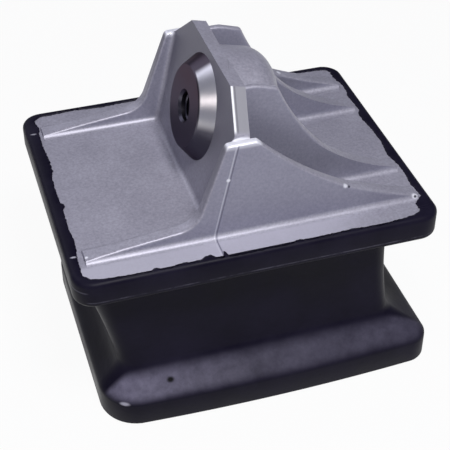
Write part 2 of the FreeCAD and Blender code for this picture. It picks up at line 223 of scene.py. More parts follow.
class MountRubberSettings(bpy.types.PropertyGroup):
    colour: StringProperty(name="Rubber", description="Colour of the rubber", default="#110E1E")
    bloom: StringProperty(
        name="Bloom", description="Colour of the bloom on the rubber", default="#2A2738")
    # this colour is used for the painted highlight on the flange's front slope
    slope_highlight: StringProperty(
        name="Film", description="Colour of the release agent's film", default="#777388")
    lip: FloatProperty(
        name="Lip", description="Height of the flash over the plate", default=0.8 * MM,
        unit="LENGTH")
    rounding: FloatProperty(
        name="Rounding", description="Radius of the block's edges", default=3 * MM, unit="LENGTH")


class MountBushSettings(bpy.types.PropertyGroup):
    colour: StringProperty(
        name="Face", description="Colour of the bush's face and bore", default="#55535E")
    # this colour is used only for the cone's painted highlight
    cone_highlight: StringProperty(name="Cone", description="Colour of the bush's cone", default="#EEECF2")
    heat: StringProperty(
        name="Tarnish", description="Brown tarnish on the bush's face", default="#564A50")
    pitch: FloatProperty(
        name="Pitch", description="Pitch of the thread", default=1.5 * MM, unit="LENGTH")
    depth: FloatProperty(
        name="Thread depth", description="Height of the thread's ridge", default=0.75 * MM,
        unit="LENGTH")


class MountStageSettings(bpy.types.PropertyGroup):
    floor: StringProperty(name="Floor", description="Colour of the floor", default="#FFFFFF")
    key: FloatProperty(name="Key", description="Power of the key light", default=5.9, unit="POWER")
    lens: FloatProperty(name="Lens", description="Focal length in millimetres", default=94.4)


# ---------------------------------------------------------------- finishes

# Stretches of the casting, as the places where their masks are 0 and 1. Heights are over the
# resting face, depths are along the bore from the boss plate's front face.
WALL_TOP_LOWER = span(171.5, 174)
WALL_TOP_UPPER = span(175.8, 175.3)
WALL_TOP_INNER = span(56, 57.5)                      # sideways from the middle
WALL_OUTSIDE = span(62.2, 62.6)
SHOULDER_LOWER = span(172, 176)
SHOULDER_OUTER = span(56, 54)
SHOULDER_DEPTH = span(10, 8, FACE_DEPTH)
FACE_HEIGHT = span(120, 175)
FACE_FRONT = span(1.5, 0.5, FACE_DEPTH)
LEDGE_FRONT = span(-66, -69)
LEDGE_TOP = span(119.5, 118.5)
LEDGE_RIGHT = span(70, 30)
SLOPING = (0.45, 0.6)                                # size of the normal's Y
UPRIGHT = (0.8, 0.97)
LEANING = (-0.4, -0.97)                              # the normal's X
# Painted highlight and painted shade lines along the shoulder's front edge: their depth and half
# width.
ARRIS_HIGHLIGHT = FACE_DEPTH + 0.7 * MM, 0.9 * MM
ARRIS_SHADE = FACE_DEPTH + 2.2 * MM, 0.7 * MM
FACE_SHADE = 0.85                                    # of its colour, at the face's top


def cast_aluminium(settings):
    """Die-cast aluminium, shot-blasted: a satin grey skin with a fine grain and faint clouds."""
    material = new_material("cast_aluminium_blasted")
    place = add_node(material, "ShaderNodeTexCoord").outputs["Object"]
    clouds = add_node(material, "ShaderNodeTexNoise", {
        "Vector": place, "Scale": 38.0, "Detail": 4.0, "Roughness": 0.55})
    grain = add_node(material, "ShaderNodeTexNoise", {
        "Vector": place, "Scale": 650.0, "Detail": 3.0, "Roughness": 0.7})
    spread = add_node(material, "ShaderNodeMapRange", {
        "Value": clouds.outputs["Fac"], "From Min": 0.35, "From Max": 0.65})
    base = add_node(material, "ShaderNodeMix", {
        "Factor": spread.outputs["Result"], "A": linear(settings.shade),
        "B": linear(settings.colour)}, data_type="RGBA")
    # the grain is about 1.5 mm, coarser than the real blasting, so that it shows
    speckle = add_node(material, "ShaderNodeMapRange", {
        "Value": grain.outputs["Fac"], "From Min": 0.3, "From Max": 0.7,
        "To Min": 0.82, "To Max": 1.16})
    tone = add_node(material, "ShaderNodeMix", {
        "Factor": 1.0, "A": base.outputs["Result"], "B": speckle.outputs["Result"]},
        data_type="RGBA", blend_type="MULTIPLY").outputs["Result"]

    axes = add_node(material, "ShaderNodeSeparateXYZ", {"Vector": place})
    height = axes.outputs["Z"]
    sideways = add_node(material, "ShaderNodeMath", {0: axes.outputs["Y"]},
                        operation="ABSOLUTE").outputs["Value"]
    depth = add_node(material, "ShaderNodeVectorMath", {0: place, 1: tuple(INTO)},
                     operation="DOT_PRODUCT").outputs["Value"]
    # the outer walls' tops are bright, a painted highlight, and the boss plate's shoulders have a
    # bright and a dark line, a painted highlight and a painted shade along their front edge
    tone = paint(material, tone, "#E6E6F0", ramp(material, height, *WALL_TOP_LOWER),
                 ramp(material, height, *WALL_TOP_UPPER),
                 ramp(material, sideways, *WALL_TOP_INNER))
    facing = add_node(material, "ShaderNodeSeparateXYZ", {
        "Vector": add_node(material, "ShaderNodeNewGeometry").outputs["Normal"]})
    front = add_node(material, "ShaderNodeMath", {0: facing.outputs["Y"]},
                     operation="ABSOLUTE").outputs["Value"]
    shoulder = combine(material, "MULTIPLY", ramp(material, front, *SLOPING),
                       ramp(material, height, *SHOULDER_LOWER),
                       ramp(material, sideways, *SHOULDER_OUTER),
                       ramp(material, depth, *SHOULDER_DEPTH))
    # the shoulders' strip is painted a plain darker grey, a painted shade over its lit face
    tone = paint(material, tone, "#929199", shoulder)
    tone = paint(material, tone, "#4A4954", shoulder, line(material, depth, *ARRIS_SHADE),
                 strength=0.5)
    tone = paint(material, tone, "#F4F4FA", shoulder, line(material, depth, *ARRIS_HIGHLIGHT))
    # upright walls are painted a little darker and bluer, a painted shade
    tone = paint(material, tone, "#74758C", ramp(material, front, *UPRIGHT), strength=0.4)
    # painted shade: the boss plate's face is darker and duller toward its top; painted light: the
    # front ledge is paler
    shaded = combine(material, "MULTIPLY", ramp(material, facing.outputs["X"], *LEANING),
                     FACE_SHADE, ramp(material, height, *FACE_HEIGHT),
                     ramp(material, depth, *FACE_FRONT))
    tone = paint(material, tone, "#72707C", shaded)
    sheen = add_node(material, "ShaderNodeMath", {0: 1.0, 1: shaded}, operation="SUBTRACT")
    sheen = add_node(material, "ShaderNodeMath", {0: sheen.outputs["Value"], 1: 0.5},
                     operation="MULTIPLY")
    tone = paint(material, tone, "#BFBDCC", ramp(material, axes.outputs["Y"], *LEDGE_FRONT),
                 ramp(material, height, *LEDGE_TOP),
                 ramp(material, axes.outputs["X"], *LEDGE_RIGHT), strength=0.7)
    # the mould's seam, up the outer walls: a raised line with a painted highlight on it and a painted
    # shade beside it
    half_seam = settings.seam_width / 2
    outside = ramp(material, sideways, *WALL_OUTSIDE)
    seam = line(material, depth, SEAM_DEPTH, half_seam)
    seam_shade = line(material, depth, SEAM_DEPTH + settings.seam_width, half_seam)
    tone = paint(material, tone, "#C9C8D6", seam, outside, strength=0.6)
    tone = paint(material, tone, "#55546A", seam_shade, outside, strength=0.7)
    # small bright spots, then dark ones, each dark one just below a bright one
    for centre, radius in CASTING_BRIGHT_MARKS:
        tone = paint(material, tone, "#E4E4EE", spot(material, place, centre, radius))
    for centre, radius in CASTING_DARK_MARKS:
        tone = paint(material, tone, "#3A3946", spot(material, place, centre, radius))

    rough = add_node(material, "ShaderNodeMapRange", {
        "Value": grain.outputs["Fac"], "To Min": settings.roughness - 0.06,
        "To Max": settings.roughness + 0.08})
    relief = combine(material, "MULTIPLY", seam, outside, 4.0)
    relief = combine(material, "ADD", relief, grain.outputs["Fac"])
    bump = add_node(material, "ShaderNodeBump", {
        "Height": relief, "Strength": 0.22, "Distance": 0.25 * MM})
    shader = add_node(material, "ShaderNodeBsdfPrincipled", {
        "Base Color": tone, "Metallic": 0.25, "Specular IOR Level": sheen.outputs["Value"],
        "Roughness": rough.outputs["Result"], "Normal": bump.outputs["Normal"]})
    add_node(material, "ShaderNodeOutputMaterial", {"Surface": shader.outputs["BSDF"]})
    return material


RING_SPACING = 0.9 * MM                              # coarser than a turning tool leaves them
TARNISH_HEIGHT = span(2, 22)                         # up from the bore's middle
# The cone's painted highlight: depths, distances from the axis, then heights and places along Y from
# the bore's middle.
CONE_DEPTH = span(-7.6, -7.0, FACE_DEPTH)
CONE_INNER = span(12, 14)
CONE_LOWER = span(3, 12)
CONE_FRONT = span(-2, -7)


def turned_steel(settings):
    """Turned steel: fine rings round the bore, a dull sheen and a little brown tarnish."""
    material = new_material("turned_steel")
    place = add_node(material, "ShaderNodeTexCoord").outputs["Object"]
    turn = BORE_AXIS.to_track_quat("Z", "Y").inverted()
    centred = add_node(material, "ShaderNodeVectorMath", {
        0: place, 1: tuple(BORE_MIDDLE)}, operation="SUBTRACT")
    along = add_node(material, "ShaderNodeVectorRotate", {
        "Vector": centred.outputs["Vector"], "Rotation": tuple(turn.to_euler())},
        rotation_type="EULER_XYZ")
    rings = add_node(material, "ShaderNodeTexWave", {
        "Vector": along.outputs["Vector"], "Scale": 1 / RING_SPACING / (2 * math.pi) * 2,
        "Distortion": 0.6, "Detail": 1.0}, wave_type="RINGS", rings_direction="Z")
    clouds = add_node(material, "ShaderNodeTexNoise", {
        "Vector": place, "Scale": 90.0, "Detail": 3.0})
    side = add_node(material, "ShaderNodeSeparateXYZ", {"Vector": centred.outputs["Vector"]})
    upper = add_node(material, "ShaderNodeMapRange", {
        "Value": side.outputs["Z"], "From Min": TARNISH_HEIGHT[0],
        "From Max": TARNISH_HEIGHT[1]})
    stain = add_node(material, "ShaderNodeMath", {
        0: upper.outputs["Result"], 1: clouds.outputs["Fac"]}, operation="MULTIPLY")
    depth = add_node(material, "ShaderNodeVectorMath", {0: place, 1: tuple(INTO)},
                     operation="DOT_PRODUCT").outputs["Value"]
    # painted highlight and reflection: the cone is bright, with a white specular tint, only on its
    # upper part toward -Y; all else is dark, with a greyer tint
    axial = add_node(material, "ShaderNodeVectorMath", {
        0: centred.outputs["Vector"], 1: tuple(INTO)}, operation="CROSS_PRODUCT")
    reach = add_node(material, "ShaderNodeVectorMath", {0: axial.outputs["Vector"]},
                     operation="LENGTH").outputs["Value"]
    cone_highlight = combine(material, "MULTIPLY", ramp(material, depth, *CONE_DEPTH),
                   ramp(material, reach, *CONE_INNER),
                   ramp(material, side.outputs["Z"], *CONE_LOWER),
                   ramp(material, side.outputs["Y"], *CONE_FRONT))
    dull = blend(material, stain.outputs["Value"], linear(settings.colour), linear(settings.heat))
    base = blend(material, cone_highlight, dull, linear(settings.cone_highlight))
    bump = add_node(material, "ShaderNodeBump", {
        "Height": rings.outputs["Fac"], "Strength": 0.12, "Distance": 0.1 * MM})
    shader = add_node(material, "ShaderNodeBsdfPrincipled", {
        "Base Color": base, "Metallic": 0.95, "Roughness": 0.3,
        "Specular Tint": blend(material, cone_highlight, linear("#A8A2A6"), linear("#FFFFFF")),
        "Normal": bump.outputs["Normal"]})
    add_node(material, "ShaderNodeOutputMaterial", {"Surface": shader.outputs["BSDF"]})
    return material


# Stretches of the rubber, in the same way.
SLOPE_HIGHLIGHT_LOWER = span(15.5, 21)
SLOPE_HIGHLIGHT_UPPER = span(33, 25)
SLOPE_HIGHLIGHT_FRONT = span(-62, -66)
SLOPE_HIGHLIGHT_LEFT, SLOPE_HIGHLIGHT_RIGHT = span(-90, -5)                # strongest, and weakest
RIM_LEFT = span(-99, -102)
RIM_LEFT_FRONT = span(0, -20)
RIM_FRONT = span(-81, -82.5)
# The thin lighter line's height and half width on the rim's left and front sides.
RIM_LINE_LEFT = 112.8 * MM, 0.7 * MM
RIM_LINE_FRONT = 106.4 * MM, 0.6 * MM


def moulded_rubber(settings):
    """Moulded natural rubber: near black and satin, with a grey bloom, a painted highlight on its
    front slope and a few marks.
    """
    material = new_material("moulded_natural_rubber")
    place = add_node(material, "ShaderNodeTexCoord").outputs["Object"]
    clouds = add_node(material, "ShaderNodeTexNoise", {
        "Vector": place, "Scale": 26.0, "Detail": 5.0, "Roughness": 0.6})
    grain = add_node(material, "ShaderNodeTexNoise", {
        "Vector": place, "Scale": 420.0, "Detail": 3.0})
    bloom = add_node(material, "ShaderNodeMapRange", {
        "Value": clouds.outputs["Fac"], "From Min": 0.42, "From Max": 0.75,
        "To Max": 0.45})
    base = add_node(material, "ShaderNodeMix", {
        "Factor": bloom.outputs["Result"], "A": linear(settings.colour),
        "B": linear(settings.bloom)}, data_type="RGBA")
    axes = add_node(material, "ShaderNodeSeparateXYZ", {"Vector": place})
    along, across, height = (axes.outputs[key] for key in "XYZ")
    # a pale, streaky painted highlight on the flange's front slope, strongest at its left
    streaks = add_node(material, "ShaderNodeTexNoise", {
        "Vector": place, "Scale": 70.0, "Detail": 5.0, "Roughness": 0.7}).outputs["Fac"]
    slope_highlight = combine(material, "MULTIPLY", ramp(material, height, *SLOPE_HIGHLIGHT_LOWER),
                   ramp(material, height, *SLOPE_HIGHLIGHT_UPPER), ramp(material, across, *SLOPE_HIGHLIGHT_FRONT))
    slope_fade = add_node(material, "ShaderNodeMapRange", {
        "Value": along, "From Min": SLOPE_HIGHLIGHT_LEFT, "From Max": SLOPE_HIGHLIGHT_RIGHT,
        "To Min": 1.0, "To Max": 0.36})
    ragged = add_node(material, "ShaderNodeMapRange", {
        "Value": streaks, "From Min": 0.3, "From Max": 0.65, "To Min": 0.45, "To Max": 1.0})
    tone = paint(material, base.outputs["Result"], settings.slope_highlight, slope_highlight,
                 slope_fade.outputs["Result"], ragged.outputs["Result"])
    # a thin line, a little lighter, on the rim's left and front sides
    left = combine(material, "MULTIPLY", line(material, height, *RIM_LINE_LEFT),
                   ramp(material, along, *RIM_LEFT), ramp(material, across, *RIM_LEFT_FRONT))
    fore = combine(material, "MULTIPLY", line(material, height, *RIM_LINE_FRONT),
                   ramp(material, across, *RIM_FRONT), ramp(material, streaks, 0.35, 0.6))
    tone = paint(material, tone, "#6C6A78", combine(material, "MAXIMUM", left, fore),
                 strength=0.4)
    for centre, radius, stretch in RUBBER_PALE_MARKS:
        tone = paint(material, tone, "#B4B2C0", spot(material, place, centre, radius, stretch),
                     ragged.outputs["Result"])
    # a pit, drawn only as a painted shade
    for centre, radius, stretch in RUBBER_DARK_MARKS:
        tone = paint(material, tone, "#08070C", spot(material, place, centre, radius, stretch))
    rough = add_node(material, "ShaderNodeMapRange", {
        "Value": clouds.outputs["Fac"], "From Min": 0.3, "From Max": 0.7,
        "To Min": 0.36, "To Max": 0.52})
    heave = add_node(material, "ShaderNodeBump", {
        "Height": clouds.outputs["Fac"], "Strength": 0.35, "Distance": 1.2 * MM})
    bump = add_node(material, "ShaderNodeBump", {
        "Height": grain.outputs["Fac"], "Strength": 0.12, "Distance": 0.2 * MM,
        "Normal": heave.outputs["Normal"]})
    shader = add_node(material, "ShaderNodeBsdfPrincipled", {
        "Base Color": tone, "Roughness": rough.outputs["Result"],
        "IOR": 1.5, "Specular IOR Level": 0.09,
        "Normal": bump.outputs["Normal"]})
    add_node(material, "ShaderNodeOutputMaterial", {"Surface": shader.outputs["BSDF"]})
    return material


def primed_steel():
    """Primed steel plate: matt black with a faint mottle."""
    material = new_material("primed_steel")
    place = add_node(material, "ShaderNodeTexCoord").outputs["Object"]
    mottle = add_node(material, "ShaderNodeTexNoise", {"Vector": place, "Scale": 60.0, "Detail": 4.0})
    base = add_node(material, "ShaderNodeMix", {
        "Factor": mottle.outputs["Fac"], "A": linear("#232326"), "B": linear("#34343A")},
        data_type="RGBA")
    bump = add_node(material, "ShaderNodeBump", {
        "Height": mottle.outputs["Fac"], "Strength": 0.2, "Distance": 0.3 * MM})
    shader = add_node(material, "ShaderNodeBsdfPrincipled", {
        "Base Color": base.outputs["Result"], "Metallic": 0.1, "Roughness": 0.5,
        "Normal": bump.outputs["Normal"]})
    add_node(material, "ShaderNodeOutputMaterial", {"Surface": shader.outputs["BSDF"]})
    return material


# ---------------------------------------------------------------- the casting's skin

# Barrels in mm, with depths from the boss plate's front face. The rough one is part of the CAD
# casting: a cone, then a round, then a flat end. The smooth one is a straight cylinder with a
# round at its end.
BOSS_THICKNESS = 8.5
ROUGH_ROOT = 4.25
ROUGH_ROOT_RADIUS = 34.2
ROUGH_CREST = 20.0
ROUGH_CREST_RADIUS = 39.0
ROUGH_ROUND = 32.0
ROUGH_ROUND_DEPTH = 12.81                            # the round's centre
ROUGH_ROUND_RADIUS = 7.82
ROUGH_END = 44.5
ROUGH_END_RADIUS = 12.0
SMOOTH_START = 4.0
SMOOTH_RADIUS = 35.0
SMOOTH_STRAIGHT = 24.0                               # where its round starts
SMOOTH_ROUND = 16.0
SMOOTH_END = SMOOTH_STRAIGHT + SMOOTH_ROUND
SMOOTH_END_RADIUS = SMOOTH_RADIUS - SMOOTH_ROUND
BARREL_STEPS = 12                                    # along its round
BARREL_SIDES = 96
# The inner walls, from the middle of the casting.
INNER_WALL_MIDDLE = 32.5
INNER_WALL_NEAREST = 27.5                            # nearer than all of a wall's inner face
INNER_WALL_FARTHEST = 31.0                           # farther than all of it
# How near a point lies to a surface that it belongs to.
SIDE_SLACK = 0.25
END_SLACK = 0.02
DEPTH_SLACK = 0.05
RIM_SLACK = 0.1
AXIS_SLACK = 1.0
MERGE = 0.002 * MM
# Shading: the area from which a level region is flat, and the angle from which an edge is sharp.
WIDE_AREA = 120 * MM * MM
SHARP_ANGLE = math.radians(24)
LEVEL = 0.99999                                      # least cosine between level neighbours


def smooth_barrel(depth, radius):
    """Depth and radius on the smooth barrel for a point of the rough one, in mm."""
    if radius <= ROUGH_END_RADIUS + DEPTH_SLACK:
        return SMOOTH_END, radius * SMOOTH_END_RADIUS / ROUGH_END_RADIUS
    if depth <= ROUGH_CREST:
        stretched = (depth - BOSS_THICKNESS) * (SMOOTH_STRAIGHT - BOSS_THICKNESS)
        return BOSS_THICKNESS + stretched / (ROUGH_CREST - BOSS_THICKNESS), SMOOTH_RADIUS
    first = math.atan2(ROUGH_CREST_RADIUS - ROUGH_ROUND_RADIUS, ROUGH_CREST - ROUGH_ROUND_DEPTH)
    last = math.atan2(ROUGH_END_RADIUS - ROUGH_ROUND_RADIUS, ROUGH_END - ROUGH_ROUND_DEPTH)
    here = math.atan2(radius - ROUGH_ROUND_RADIUS, depth - ROUGH_ROUND_DEPTH)
    turn = math.radians(90) * (here - last) / (first - last)
    return (SMOOTH_STRAIGHT + SMOOTH_ROUND * math.cos(turn),
            SMOOTH_END_RADIUS + SMOOTH_ROUND * math.sin(turn))


def rough_radius(depth):
    """Radius of the rough barrel at a depth, in mm."""
    if depth <= ROUGH_CREST:
        widened = (depth - ROUGH_ROOT) * (ROUGH_CREST_RADIUS - ROUGH_ROOT_RADIUS)
        return ROUGH_ROOT_RADIUS + widened / (ROUGH_CREST - ROUGH_ROOT)
    reach = ROUGH_ROUND ** 2 - (depth - ROUGH_ROUND_DEPTH) ** 2
    return ROUGH_ROUND_RADIUS + math.sqrt(max(reach, 0))


def shade_by_width(bm, least_area, sharp_angle):
    """Shade level regions of more than least_area flat, the rest smooth, and keep edges sharp."""
    bm.normal_update()
    seen = set()
    for face in bm.faces:
        if face in seen:
            continue
        seen.add(face)
        region = [face]
        for current in region:
            for edge in current.edges:
                for other in edge.link_faces:
                    if other not in seen and other.normal.dot(face.normal) > LEVEL:
                        seen.add(other)
                        region.append(other)
        wide = sum(member.calc_area() for member in region) > least_area
        for member in region:
            member.smooth = not wide
    for edge in bm.edges:
        edge.smooth = len(edge.link_faces) == 2 and edge.calc_face_angle() < sharp_angle


def on_rough_barrel(depth, across, radius):
    """Whether a point of the casting, in mm, lies on the rough barrel's side or end."""
    if not BOSS_THICKNESS - DEPTH_SLACK < depth < ROUGH_END + DEPTH_SLACK:
        return False
    if radius < AXIS_SLACK or abs(across) > INNER_WALL_FARTHEST:
        return False
    on_side = abs(radius - rough_radius(depth)) < SIDE_SLACK
    on_end = abs(depth - ROUGH_END) < END_SLACK and radius < ROUGH_END_RADIUS + RIM_SLACK
    return on_side or on_end


def build_casting_skin():
    """A copy of the casting's mesh whose barrel is swapped for a smooth one.

    Known faults: the barrel is closed at SMOOTH_START, which blocks the threaded hole there, it
    stands 0.3 mm proud of the boss plate's top, and the plate's top rises 2 to 3 mm at its foot.
    """
    bm = bmesh.new()
    bm.from_mesh(frame["nodes"]["saddle_casting"].data)
    bmesh.ops.remove_doubles(bm, verts=bm.verts, dist=MERGE)

    # points on the rough barrel move to the smooth one, also those that it shares with the
    # inner walls, the boss plate and the plate's top
    moved = set()
    for vert in bm.verts:
        offset = (vert.co - BORE_FACE) / MM
        depth, across, up = offset.dot(INTO), offset.y, offset.dot(UP)
        radius = math.hypot(across, up)
        if not on_rough_barrel(depth, across, radius):
            continue
        moved.add(vert)
        new_depth, new_radius = smooth_barrel(depth, radius)
        if depth < BOSS_THICKNESS + DEPTH_SLACK:
            new_depth = depth
        if abs(across) > INNER_WALL_NEAREST and new_radius > abs(across):
            new_across = across                      # it stays on the wall
            new_up = math.copysign(math.sqrt(new_radius ** 2 - across ** 2), up)
        else:
            new_across = across * new_radius / radius
            new_up = up * new_radius / radius
        vert.co = BORE_FACE + (INTO * new_depth + ACROSS * new_across + UP * new_up) * MM
    rough = [face for face in bm.faces if all(vert in moved for vert in face.verts)]
    bmesh.ops.delete(bm, geom=rough, context="FACES")

    # the smooth barrel, spun round the bore's axis and cut off inside the inner walls
    outline = [(SMOOTH_START, 0), (SMOOTH_START, SMOOTH_RADIUS), (SMOOTH_STRAIGHT, SMOOTH_RADIUS)]
    for step in range(1, BARREL_STEPS + 1):
        turn = math.radians(90) * step / BARREL_STEPS
        outline.append((SMOOTH_STRAIGHT + SMOOTH_ROUND * math.sin(turn),
                        SMOOTH_END_RADIUS + SMOOTH_ROUND * math.cos(turn)))
    outline += [(SMOOTH_END, ROUGH_END_RADIUS), (SMOOTH_END, 0)]
    barrel = bmesh.new()
    ridge = [barrel.verts.new(BORE_FACE + (INTO * depth + UP * radius) * MM)
             for depth, radius in outline]
    profile = [barrel.edges.new(pair) for pair in zip(ridge, ridge[1:])]
    bmesh.ops.spin(barrel, geom=ridge + profile, cent=BORE_FACE, axis=INTO,
                   angle=math.radians(360), steps=BARREL_SIDES, use_merge=True)
    bmesh.ops.remove_doubles(barrel, verts=barrel.verts, dist=MERGE)
    for side in (-1, 1):
        cut = bmesh.ops.bisect_plane(
            barrel, geom=barrel.verts[:] + barrel.edges[:] + barrel.faces[:],
            plane_co=ACROSS * side * INNER_WALL_MIDDLE * MM, plane_no=ACROSS * side, clear_outer=True)
        rim = [item for item in cut["geom_cut"] if isinstance(item, bmesh.types.BMEdge)]
        bmesh.ops.edgeloop_fill(barrel, edges=rim)
    spun = bpy.data.meshes.new("barrel")
    bmesh.ops.recalc_face_normals(barrel, faces=barrel.faces)
    barrel.to_mesh(spun)
    barrel.free()
    bm.from_mesh(spun)
    shade_by_width(bm, WIDE_AREA, SHARP_ANGLE)
    return bm


# ---------------------------------------------------------------- the rubber block's rings

CORNER_STEPS = 12
LONG_STEPS = 200
SHORT_STEPS = 160
RING = 2 * (LONG_STEPS + SHORT_STEPS) + 4 * CORNER_STEPS
ROUND_STEPS = 4
NECK_STEPS = 9
RIM_LOWER = 0.8                                      # the rim's lower round, of its upper one


def ring_point(index, length, width, corner, middle=0.0, bow=0.0):
    """Point and outward direction on a rounded rectangle, in the XY plane.

    The ring starts at the left end of the -Y side and runs anticlockwise.
    """
    half_x = length / 2
    half_y = width / 2 - bow
    left, right = corner if isinstance(corner, tuple) else (corner, corner)
    sides = (
        (LONG_STEPS, Vector((-half_x + left, -half_y)), Vector((half_x - right, -half_y)),
         Vector((0, -1)), right),
        (SHORT_STEPS, Vector((half_x, -half_y + right)), Vector((half_x, half_y - right)),
         Vector((1, 0)), right),
        (LONG_STEPS, Vector((half_x - right, half_y)), Vector((-half_x + left, half_y)),
         Vector((0, 1)), left),
        (SHORT_STEPS, Vector((-half_x, half_y - left)), Vector((-half_x, -half_y + left)),
         Vector((-1, 0)), left),
    )
    for steps, start, end, outward, radius in sides:
        if index < steps:
            along = index / steps
            point = start.lerp(end, along)
            if bow and outward.y:
                point = point + outward * bow * 4 * along * (1 - along)
            return point + Vector((middle, 0)), outward
        index -= steps
        if index < CORNER_STEPS:
            centre = end - outward * radius
            turn = math.radians(90) * index / CORNER_STEPS
            direction = Matrix.Rotation(turn, 2) @ outward
            point = centre + direction * radius
            return point + Vector((middle, 0)), direction
        index -= CORNER_STEPS
    raise ValueError("ring index out of range")


# Width of rubber flash over the plate's edge, from the side's start to its end, in mm:
# (distance of the place from the side's middle, width).
FLASH_FRONT = (
    (-96, 3.0), (-91, 3.2), (-88, 2.6), (-75, 1.7), (-63, 1.6), (-60, 3.0), (-58, 1.6),
    (-53, 1.1), (-47, 2.4), (-36, 2.0), (-33, 4.2), (-30, 4.4), (-27.5, 1.6), (-24.5, 1.0),
    (-23.4, 1.0), (-22.8, 5.6), (-22, 5.2), (-21.3, 0.8), (-18, 0.4), (0, 0.8), (14, 0.9),
    (18, 2.4), (26, 1.4), (33, 2.0), (50, 2.4), (67, 1.0), (80, 2.6), (85, 3.2), (88, 4.4),
    (91, 6.0), (100, 8.5),
)
FLASH_RIGHT = (
    (-82, 8.5), (-69, 8.4), (-66, 6.0), (-63, 2.4), (-51, 3.8), (-41, 2.6), (-32, 2.9),
    (-21, 5.0), (-8, 3.2), (5, 3.4), (16, 4.6), (24, 4.9), (27, 2.8), (34, 2.9), (45, 3.8),
    (50, 2.2), (59, 2.2), (67, 4.5), (76, 3.9),
)
FLASH_BACK = (
    (-96, 3.4), (-70, 2.2), (-55, 3.6), (-30, 2.4), (-8, 3.0), (12, 1.8), (40, 3.2), (66, 2.0),
    (96, 3.6),
)
FLASH_LEFT = (
    (-80, 3.6), (-73, 1.7), (-58, 2.1), (-50, 3.2), (-44, 3.5), (-34, 2.6), (-26, 2.7),
    (-16, 3.0), (-13.2, 4.7), (-11.5, 4.5), (-10, 2.6), (4, 2.4), (16, 2.9), (21, 4.3),
    (33, 4.4), (45, 3.4), (61, 3.6), (66, 4.8), (72, 3.2), (80, 3.4),
)


FLASH_LEVELS = (0.02, 0.45, 0.7)                     # of its edge over the plate's top, in mm
FLASH_ROUND = 1.2 * MM                               # how far its top falls back
FLASH_OVERHANG = 0.6 * MM                            # past the plate's edge, at most
FLASH_LEAST = 0.15                                   # its least width, in mm
FLASH_WAVES = ((0.55, 0.45), (0.35, 1.3))            # height in mm, and noise steps per mm


def flash_width(point, outward):
    """Width of the flash at a place on the plate's outline, in metres."""
    if abs(outward.y) > abs(outward.x):
        table = FLASH_FRONT if outward.y < 0 else FLASH_BACK
        place = (point.x - SADDLE_X) / MM
    else:
        table = FLASH_RIGHT if outward.x > 0 else FLASH_LEFT
        place = point.y / MM
    low = max((row for row in table if row[0] <= place), default=table[0])
    high = min((row for row in table if row[0] >= place), default=table[-1])
    share = 0 if high[0] == low[0] else (place - low[0]) / (high[0] - low[0])
    width = low[1] + (high[1] - low[1]) * share
    here = Vector((point.x, point.y, 0)) / MM
    width += sum(size * noise.noise(here * steps) for size, steps in FLASH_WAVES)
    return max(width, FLASH_LEAST) * MM


